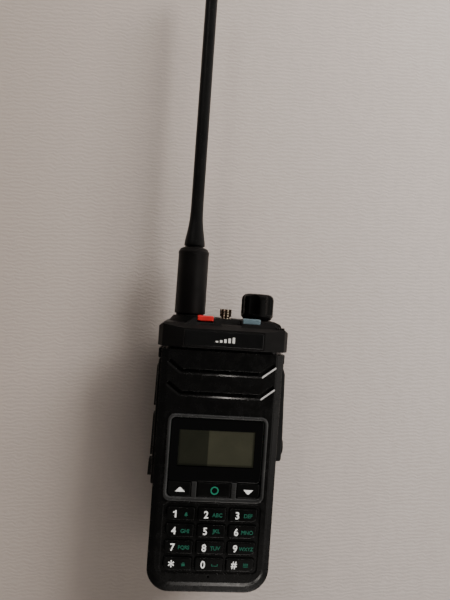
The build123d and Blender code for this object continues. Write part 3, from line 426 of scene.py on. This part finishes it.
MATS = {
    "casing": plastic("casing_black", srgb(7, 7, 7), srgb(21, 20, 19), rough=0.25,
                      grain_strength=0.12, edge_radius=0.0004, specular=0.36, flank=0.09),
    "battery": plastic("battery_black", srgb(19, 19, 19), srgb(44, 43, 41), rough=0.46,
                       grain=2100.0, grain_strength=0.4, grain_depth=0.00005, specular=0.4),
    "cap": cap_material(),
    "bezel": plastic("bezel_grey", srgb(24, 24, 24), srgb(74, 74, 73), rough=0.24,
                     grain=3600.0, grain_strength=0.1, edge_radius=0.0003),
    "gloss": plastic("gloss_black", srgb(10, 10, 10), srgb(30, 30, 30), rough=0.14, grain=500.0,
                     grain_strength=0.03, edge_radius=0.00018, smudge=0.06, wear=0.3),
    "key": plastic("key_black", srgb(4, 4, 4), srgb(26, 26, 25), rough=0.2, grain=3600.0,
                   grain_strength=0.08, edge_radius=0.0003, smudge=0.06, specular=0.32),
    "knob": plastic("knob_black", srgb(4, 4, 4), srgb(30, 29, 28), rough=0.22,
                    grain_strength=0.12, edge_radius=0.00035, specular=0.07),
    "sleeve": plastic("sleeve_black", srgb(7, 6, 6), srgb(20, 19, 18), rough=0.44,
                      grain=2400.0, grain_strength=0.4, grain_depth=0.00006, specular=0.2),
    "rubber": rubber("rubber_black", srgb(15, 15, 15), srgb(34, 33, 32)),
    "whip": rubber("whip_black", srgb(8, 8, 8), srgb(18, 17, 16), rough=0.42,
                   grain=2600.0, grain_strength=0.22, specular=0.14),
    "lens": lens_material(),
    "lcd": lcd_material(),
    "window": translucent("status_blue", srgb(92, 108, 114), srgb(64, 80, 88)),
    "alarm": translucent("alarm_red", srgb(194, 40, 40), srgb(154, 24, 28), rough=0.36),
    "diecast": metal("die_cast", (0.045, 0.045, 0.046, 1), (0.022, 0.022, 0.023, 1),
                     rough=0.5, grain=1500.0, pits=0.4),
    "steel": metal("bright_steel", (0.58, 0.57, 0.55, 1), (0.36, 0.35, 0.34, 1),
                   rough=0.3, brushed=(1, 1, 12)),
    "spring": metal("spring_steel", (0.42, 0.41, 0.4, 1), (0.2, 0.19, 0.19, 1), rough=0.34),
    "brass": metal("turned_brass", (0.6, 0.48, 0.34, 1), (0.2, 0.14, 0.09, 1),
                   rough=0.3, brushed=(1, 1, 14), grain=1100.0, pits=0.35),
    "stub": stub_material(),
    "gold": metal("gold_plate", (0.86, 0.64, 0.28, 1), (0.6, 0.42, 0.17, 1), rough=0.22),
    "tin": metal("tinned_sheet", (0.66, 0.66, 0.64, 1), (0.45, 0.45, 0.44, 1), rough=0.34),
    "board": board_material(),
    "cells": cell_material(),
    "label": label_material(),
    # the inks' glow values are painted glow
    "white_ink": ink("white_ink", srgb(232, 232, 228), glow=0.10),
    "green_ink": ink("green_ink", srgb(15, 82, 64), glow=0.02),
    "mark_ink": ink("mark_ink", srgb(196, 194, 188), glow=0.05, rough=0.4),
    "ring_ink": ink("ring_ink", srgb(19, 112, 86), glow=0.03),
    "cone": plastic("speaker_cone", srgb(22, 22, 22), srgb(48, 48, 48), rough=0.7,
                    grain=900.0, grain_strength=0.6, grain_depth=0.0001),
}
# material: the CAD pieces made of it
PIECES = {
    "casing": "front_housing side_key_frame clip_bracket",
    "battery": "battery_case battery_lid battery_latch belt_clip",
    "cap": "top_cap",
    "bezel": "display_bezel",
    "gloss": "accessory_jacks name_plate",
    "knob": "volume_knob cover_screw",
    "sleeve": "antenna_sleeve",
    "rubber": "key_mat chassis_seal ptt_button side_key_upper side_key_lower "
              "antenna_gasket accessory_cover",
    "whip": "antenna_whip",
    "lens": "display_lens",
    "lcd": "lcd_module",
    "window": "status_window",
    "alarm": "alarm_button",
    "diecast": "chassis",
    "steel": "microphone case_screws volume_control channel_encoder clip_pin volume_shaft",
    "spring": "clip_spring",
    "brass": "control_nuts antenna_plug",
    "stub": "channel_shaft",
    "gold": "battery_terminals antenna_connector charge_contacts",
    "tin": "shield_cans",
    "board": "control_board main_board",
    "cells": "battery_cells",
    "cone": "speaker",
}
MATERIAL_OF = {piece: key for key, pieces in PIECES.items() for piece in pieces.split()}


def set_material(mesh, key):
    mesh.materials.clear()
    mesh.materials.append(MATS[key])


for node_name, obj in NODES.items():
    material_key = MATERIAL_OF.get(node_name, "key" if node_name.startswith("key_") else None)
    if material_key:
        set_material(obj.data, material_key)


# ------------------------------------------------------------------ piece helpers
def body_of(node):
    """The moving body that carries a CAD piece."""
    bodies = frame["record"]["behaviour"]["bodies"]
    return next(body for body, nodes in bodies.items() if node in nodes)


def mesh_from(bm, name):
    mesh = bpy.data.meshes.new(name)
    bm.to_mesh(mesh)
    bm.free()
    return mesh


def add_object(name, data):
    obj = bpy.data.objects.new(name, data)
    bpy.context.scene.collection.objects.link(obj)
    return obj


def add_piece(name, mesh, material, body):
    mesh.name = name
    obj = add_object(name, mesh)
    set_material(mesh, material)
    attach(obj, body)


# ------------------------------------------------------------------ printed legends
# turns the text plane to face -Y
FACE = Matrix(((1, 0, 0, 0), (0, 0, -1, 0), (0, 1, 0, 0), (0, 0, 0, 1)))


def legend(name, text, place, material, body, size, bold, stretch):
    """Raised text on a face that looks along -Y, centred on place."""
    curve = bpy.data.curves.new(name + "_curve", "FONT")
    curve.body = text
    curve.size = size
    curve.align_x = "CENTER"
    curve.align_y = "CENTER"
    curve.extrude = PRINT_DEPTH
    curve.offset = bold
    curve.resolution_u = 4
    text_object = add_object(name + "_text", curve)
    bpy.context.view_layer.update()
    depsgraph = bpy.context.evaluated_depsgraph_get()
    mesh = bpy.data.meshes.new_from_object(text_object.evaluated_get(depsgraph))
    bpy.data.objects.remove(text_object)
    bpy.data.curves.remove(curve)
    xs = [v.co.x for v in mesh.vertices]
    ys = [v.co.y for v in mesh.vertices]
    middle_x, middle_y = (min(xs) + max(xs)) / 2, (min(ys) + max(ys)) / 2
    for v in mesh.vertices:
        flat = Vector(((v.co.x - middle_x) * stretch, v.co.y - middle_y, v.co.z))
        v.co = FACE @ flat + Vector(place)
    add_piece(name, mesh, material, body)


def flat_icon(name, outlines, place, material, body):
    """Printed shapes with thickness; outlines are closed, in mm (x, z) from place."""
    x, y, z = place
    bm = bmesh.new()
    for points in outlines:
        face = bm.faces.new([bm.verts.new((x + px * MM, y, z + pz * MM)) for px, pz in points])
        face.normal_update()
        if face.normal.y > 0:
            face.normal_flip()
        extruded = bmesh.ops.extrude_face_region(bm, geom=[face])["geom"]
        for item in extruded:
            if isinstance(item, bmesh.types.BMVert):
                item.co.y += PRINT_DEPTH * 2
    bmesh.ops.recalc_face_normals(bm, faces=bm.faces)
    for v in bm.verts:
        v.co.y -= PRINT_DEPTH
    add_piece(name, mesh_from(bm, name), material, body)


def rect(x0, x1, z0, z1):
    return [(x0, z0), (x1, z0), (x1, z1), (x0, z1)]


def ring(inner, outer, count, sweep=360.0, rise=0.0):
    """A ring or arch split into quads, so that it has a real hole."""
    quads = []
    for i in range(count):
        start, end = (math.radians(sweep * j / count) for j in (i, i + 1))
        corners = ((inner, start), (outer, start), (outer, end), (inner, end))
        quads.append([(r * math.cos(a), r * math.sin(a) + rise) for r, a in corners])
    return quads


# (mark, letters) on each key, top row first
KEYPAD = (
    (("1", ""), ("2", "ABC"), ("3", "DEF")),
    (("4", "GHI"), ("5", "JKL"), ("6", "MNO")),
    (("7", "PQRS"), ("8", "TUV"), ("9", "WXYZ")),
    (("*", ""), ("0", ""), ("#", "")),
)
KEY_WORDS = {"*": "star", "#": "hash"}
# outline of the figure 1, mm (x, z)
FIGURE_ONE = [(0.02, -1.72), (0.72, -1.72), (0.72, 1.75), (0.2, 1.75),
              (-0.1, 1.3), (-0.88, 0.98), (-0.88, 0.4), (0.02, 0.74)]
BELL = [[(-0.9, -0.7), (0.9, -0.7), (0.6, -0.3), (0.45, 0.5),
         (0.0, 0.9), (-0.45, 0.5), (-0.6, -0.3)], rect(-0.25, 0.25, -1.1, -0.8)]
PADLOCK = [rect(-0.8, 0.8, -0.9, 0.15), *ring(0.36, 0.62, count=12, sweep=180, rise=0.2)]
SPACE_BAR = [rect(-1.5, 1.5, -0.7, -0.4), rect(-1.5, -1.2, -0.4, 0.3),
             rect(1.2, 1.5, -0.4, 0.3)]
MENU_LIST = [rect(-1.2, 1.2, h - 0.14, h + 0.14) for h in (-0.7, 0.0, 0.7)]
ARROW_UP = [[(-2.3, -1.05), (2.3, -1.05), (0.35, 1.0), (-0.35, 1.0)]]
ARROW_DOWN = [[(-2.3, 1.05), (-0.35, -1.0), (0.35, -1.0), (2.3, 1.05)]]
RISING_BARS = [rect(i * 2.0 - 4.7, i * 2.0 - 3.5, -1.35, -0.65 + 0.5 * i) for i in range(5)]
# key, outlines, (x, y, z), ink
ICONS = (
    ("key_1", BELL, (COLUMNS[0] + 0.0026, KEY_FACE_Y, ROWS[0]), "green_ink"),
    ("key_star", PADLOCK, (COLUMNS[0] + 0.0028, KEY_FACE_Y, ROWS[3]), "green_ink"),
    ("key_0", SPACE_BAR, (COLUMNS[1] + 0.0028, KEY_FACE_Y, ROWS[3]), "green_ink"),
    ("key_hash", MENU_LIST, (COLUMNS[2] + 0.0028, KEY_FACE_Y, ROWS[3]), "green_ink"),
    ("key_up", ARROW_UP, (-0.0161, FUNCTION_KEY_FACE_Y, 0.0494), "white_ink"),
    ("key_down", ARROW_DOWN, (0.0166, FUNCTION_KEY_FACE_Y, 0.0491), "white_ink"),
    ("key_menu", ring(1.4, 1.95, count=32), (0.0004, FUNCTION_KEY_FACE_Y, 0.0493), "ring_ink"),
)


def key_print(mark, letters, x, z):
    """The white mark on the left of a key and the green letters on its right."""
    key = "key_" + KEY_WORDS.get(mark, mark)
    body = body_of(key)
    if mark == "*":
        legend(f"legend_{key}", mark, (x - 0.0029, KEY_FACE_Y, z + 0.0001), "white_ink", body,
               size=0.0074, bold=0.00008, stretch=0.92)
    elif mark == "1":
        flat_icon(f"legend_{key}", [FIGURE_ONE], (x - 0.0027, KEY_FACE_Y, z), "white_ink", body)
    else:
        legend(f"legend_{key}", mark, (x - 0.0028, KEY_FACE_Y, z), "white_ink", body,
               size=0.0048, bold=0.0001, stretch=0.93)
    if letters:
        legend(f"letters_{key}", letters, (x + 0.0025, KEY_FACE_Y, z - 0.0001), "green_ink",
               body, size=0.0026 if len(letters) < 4 else 0.0024, bold=0.00005, stretch=0.95)


for row_z, row_keys in zip(ROWS, KEYPAD):
    for column_x, (key_mark, key_letters) in zip(COLUMNS, row_keys):
        key_print(key_mark, key_letters, column_x, row_z)
for key_name, shapes, spot, ink_name in ICONS:
    flat_icon(f"icon_{key_name}", shapes, spot, ink_name, body_of(key_name))


# ------------------------------------------------------------------ trim
def add_bar(bm, low, high, bevel):
    """A small bar between two corners with softened edges, added to a bmesh."""
    bar = bmesh.new()
    bmesh.ops.create_cube(bar, size=1.0)
    for v in bar.verts:
        v.co = [(a + b) / 2 + c * (b - a) for a, b, c in zip(low, high, v.co)]
    bmesh.ops.bevel(bar, geom=list(bar.edges), offset=bevel, segments=3,
                    affect="EDGES", profile=0.6)
    mesh = mesh_from(bar, "bar")
    bm.from_mesh(mesh)
    bpy.data.meshes.remove(mesh)


def deck_ribs():
    """Five upright ribs on the deck's front right slope."""
    first_x, pitch, width = 0.02505, 0.0009, 0.00048
    bm = bmesh.new()
    for i in range(5):
        x = first_x + i * pitch
        add_bar(bm, (x, -0.0162, 0.1268), (x + width, -0.0142, 0.1287), bevel=0.00014)
    add_piece("deck_ribs", mesh_from(bm, "deck_ribs"), "cap", "radio")


def battery_label():
    """A rounded foil plate, partly sunk into the battery's back."""
    half_width, bottom, top = 0.0195, 0.047, 0.090
    sunk, proud = 0.0002, 0.00008
    radius, segments = 0.0016, 6
    back_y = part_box("battery_case")[1][1]
    left, right = radius - half_width, half_width - radius
    low, high = bottom + radius, top - radius
    corners = ((right, high, 0), (left, high, 90), (left, low, 180), (right, low, 270))
    outline = []
    for x, z, first_angle in corners:
        for i in range(segments + 1):
            angle = math.radians(first_angle + 90.0 * i / segments)
            outline.append((x + radius * math.cos(angle), z + radius * math.sin(angle)))
    bm = bmesh.new()
    outer = [bm.verts.new((x, back_y + proud, z)) for x, z in outline]
    inner = [bm.verts.new((x, back_y - sunk, z)) for x, z in outline]
    bm.faces.new(outer)
    bm.faces.new(list(reversed(inner)))
    for i in range(len(outline)):
        j = (i + 1) % len(outline)
        bm.faces.new((outer[j], outer[i], inner[i], inner[j]))
    bmesh.ops.recalc_face_normals(bm, faces=bm.faces)
    add_piece("battery_label", mesh_from(bm, "battery_label"), "label", "battery")


deck_ribs()
flat_icon("plate_mark", RISING_BARS, (0.0006, NAME_PLATE_Y, 0.1215), "mark_ink", "radio")
battery_label()


# ------------------------------------------------------------------ table
def table_material():
    """Pale woven surface with painted brownish shade towards the left; clear when seen from
    behind.
    """
    mat = Mat("table_pale")
    large = mat.noise(5.0, detail=3.0, rough=0.55)
    fibre = mat.noise(260.0, detail=4.0, rough=0.6, vector=mat.mapping((1.0, 1.0, 0.5)))
    fine = mat.noise(900.0, rough=0.6)
    weave = mat.node("TexWave", {
        "Vector": mat.mapping(rotation=(0, 0.07, 0)), "Scale": 140.0, "Distortion": 7.0,
        "Detail": 3.0, "Detail Scale": 1.6},
        wave_type="BANDS", bands_direction="Z").outputs["Fac"]
    # painted shade: the table is made darker and browner towards the left, where the light
    # falls off
    painted_shade_left = mat.remap(mat.xyz()[0], (-0.16, 0.12), to=(1.0, 0.0))
    color = mat.mix(mat.vary(large, 0.0, 0.5), srgb(189, 179, 173), srgb(182, 172, 166))
    color = mat.mix(mat.mul(painted_shade_left, 0.85), color, srgb(166, 152, 141))
    color = mat.mix(mat.remap(fibre, (0.35, 0.65), to=(0.0, 0.22)), color, srgb(166, 156, 149))
    color = mat.mix(mat.mul(weave, 0.1), color, srgb(150, 141, 134))
    height = mat.add(mat.add(fibre, mat.mul(fine, 0.4)), mat.mul(weave, 0.7))
    pale = mat.principled(color, 0.75, normal=mat.bump(height, strength=0.35, distance=0.0003))
    # with the camera behind the table it is clear to every ray, so the radio's back is lit too
    backfacing = mat.node("NewGeometry").outputs["Backfacing"]
    eye = mat.node("VectorTransform", {0: (0.0, 0.0, 0.0)}, vector_type="POINT",
                   convert_from="CAMERA", convert_to="WORLD").outputs[0]
    behind = mat.math("GREATER_THAN", mat.xyz(eye)[1], 0.03)
    hidden = mat.math("MAXIMUM", backfacing, behind, clamp=True)
    clear = mat.node("BsdfTransparent").outputs[0]
    return mat.surface(mat.mix_shader(hidden, pale, clear))


def add_table():
    """The gridded plane the radio's back rests on."""
    cells, half_size, table_y, middle_z = 24, 3.5, 0.0256, 0.14
    steps = [(i / cells - 0.5) * 2 * half_size for i in range(cells + 1)]
    bm = bmesh.new()
    grid = [[bm.verts.new((x, table_y, middle_z + z)) for x in steps] for z in steps]
    for j in range(cells):
        for i in range(cells):
            bm.faces.new((grid[j][i], grid[j][i + 1], grid[j + 1][i + 1], grid[j + 1][i]))
    bm.normal_update()
    table = add_object("table", mesh_from(bm, "table"))
    table.data.materials.append(table_material())


add_table()


# ------------------------------------------------------------------ lights
def area(name, place, target, size, energy, color=(1, 1, 1), size_y=None, glossy=False):
    """A rectangular light aimed at target; glossy lets reflections show it."""
    light = bpy.data.lights.new(name, "AREA")
    light.shape = "RECTANGLE"
    light.size = size
    light.size_y = size_y or size
    light.energy = energy
    light.color = color
    obj = add_object(name, light)
    obj.location = place
    direction = Vector(target) - Vector(place)
    obj.rotation_euler = direction.to_track_quat("-Z", "Y").to_euler()
    obj.visible_glossy = glossy


area("key_light", (0.84, -0.6, 0.8), (0.0, 0.0, 0.12),
     size=0.5, energy=21.5, color=(1.0, 0.98, 0.955))
area("top_light", (0.45, -0.5, 1.15), (0.0, 0.0, 0.25),
     size=0.6, size_y=0.35, energy=4.5, color=(1.0, 0.985, 0.965))
area("fill_light", (-0.75, -0.75, -0.2), (0.0, 0.0, 0.05),
     size=0.9, energy=0.3, color=(1.0, 0.9, 0.8))
area("corner_light", (0.42, -0.4, 0.62), (0.3, 0.02, 0.36),
     size=0.35, energy=1.5, color=(1.0, 0.985, 0.97))
area("back_light", (0.45, 0.95, 0.6), (0.0, 0.0, 0.1), size=0.8, energy=26.0, glossy=True)
area("back_fill", (-0.8, 0.8, 0.1), (0.0, 0.0, 0.1), size=0.9, energy=12.0, glossy=True)

# ------------------------------------------------------------------ room
# soft bright patches: direction, inner and outer half-angle in degrees, strength
PATCHES = (
    ((-0.425, -0.655, 0.62), 2, 6, 34.0),       # upper left
    ((0.096, -0.61, 0.788), 0.3, 1.6, 62.0),    # overhead, small
    ((0.19, -0.61, 0.77), 1, 7, 0.9),           # overhead, fainter, to its right
    ((0.16, -0.52, -0.84), 3, 8.5, 13.5),       # below
    ((0.16, -0.74, -0.66), 6, 16, 0.6),         # below, faint and wide
    ((0.5, -0.42, -0.76), 3, 8, 13.0),          # lower right
    ((0.64, -0.74, -0.12), 8, 28, 1.7),         # right
    ((0.95, 0.1, 0.2), 6, 30, 0.3),             # far right
)


def build_world():
    """A room that is dark behind the camera and brighter to the right and along the table."""
    world = bpy.data.worlds.new("studio")
    bpy.context.scene.world = world
    world.use_nodes = True
    room = Nodes(world.node_tree, "Generated")

    def soft(value, span, to):
        return room.remap(value, span, to, interpolation_type="SMOOTHSTEP")

    x, y, _ = room.xyz()
    strength = room.mul(soft(y, (-0.9, -0.1), (0.04, 1.0)), soft(x, (-0.95, 0.95), (0.2, 0.46)))
    for direction, inner, outer, power in PATCHES:
        closeness = room.dot(room.coords, Vector(direction).normalized())
        span = [math.cos(math.radians(angle)) for angle in (outer, inner)]
        strength = room.add(strength, soft(closeness, span, (0.0, power)))
    # diffuse light takes a little less of the room than mirror reflections do
    rays = room.node("LightPath").outputs
    strength = room.mul(strength, room.sub(1.0, room.mul(rays["Is Diffuse Ray"], 0.12)))
    lit = world.node_tree.nodes["Background"]
    room.put(lit.inputs["Color"], (0.66, 0.62, 0.58, 1))
    room.put(lit.inputs["Strength"], strength)
    # seen directly, the room is a plain pale backdrop
    plain = room.node("Background", {"Color": (0.52, 0.505, 0.49, 1), "Strength": 0.85})
    seen = room.mix_shader(rays["Is Camera Ray"], lit.outputs[0], plain.outputs[0])
    room.put(world.node_tree.nodes["World Output"].inputs[0], seen)


build_world()


# ------------------------------------------------------------------ camera
def add_camera():
    """Looks along +Y at the radio's upper half, turned and tilted a little."""
    yaw, roll, distance = math.radians(-4.5), math.radians(4.0), 0.215
    aim = Vector((-0.0010, -0.018, 0.1405))
    back = Vector((math.sin(yaw), -math.cos(yaw), 0.0))
    level_right = Vector((0, 0, 1)).cross(back).normalized()
    level_up = back.cross(level_right)
    right = level_right * math.cos(roll) + level_up * math.sin(roll)
    up = -level_right * math.sin(roll) + level_up * math.cos(roll)
    data = bpy.data.cameras.new("camera")
    data.sensor_width = 36.0
    data.lens = 27.06
    data.clip_start = 0.01
    camera = add_object("camera", data)
    axes = Matrix((right, up, back)).transposed().to_4x4()
    camera.matrix_world = Matrix.Translation(aim + back * distance) @ axes
    bpy.context.scene.camera = camera


add_camera()
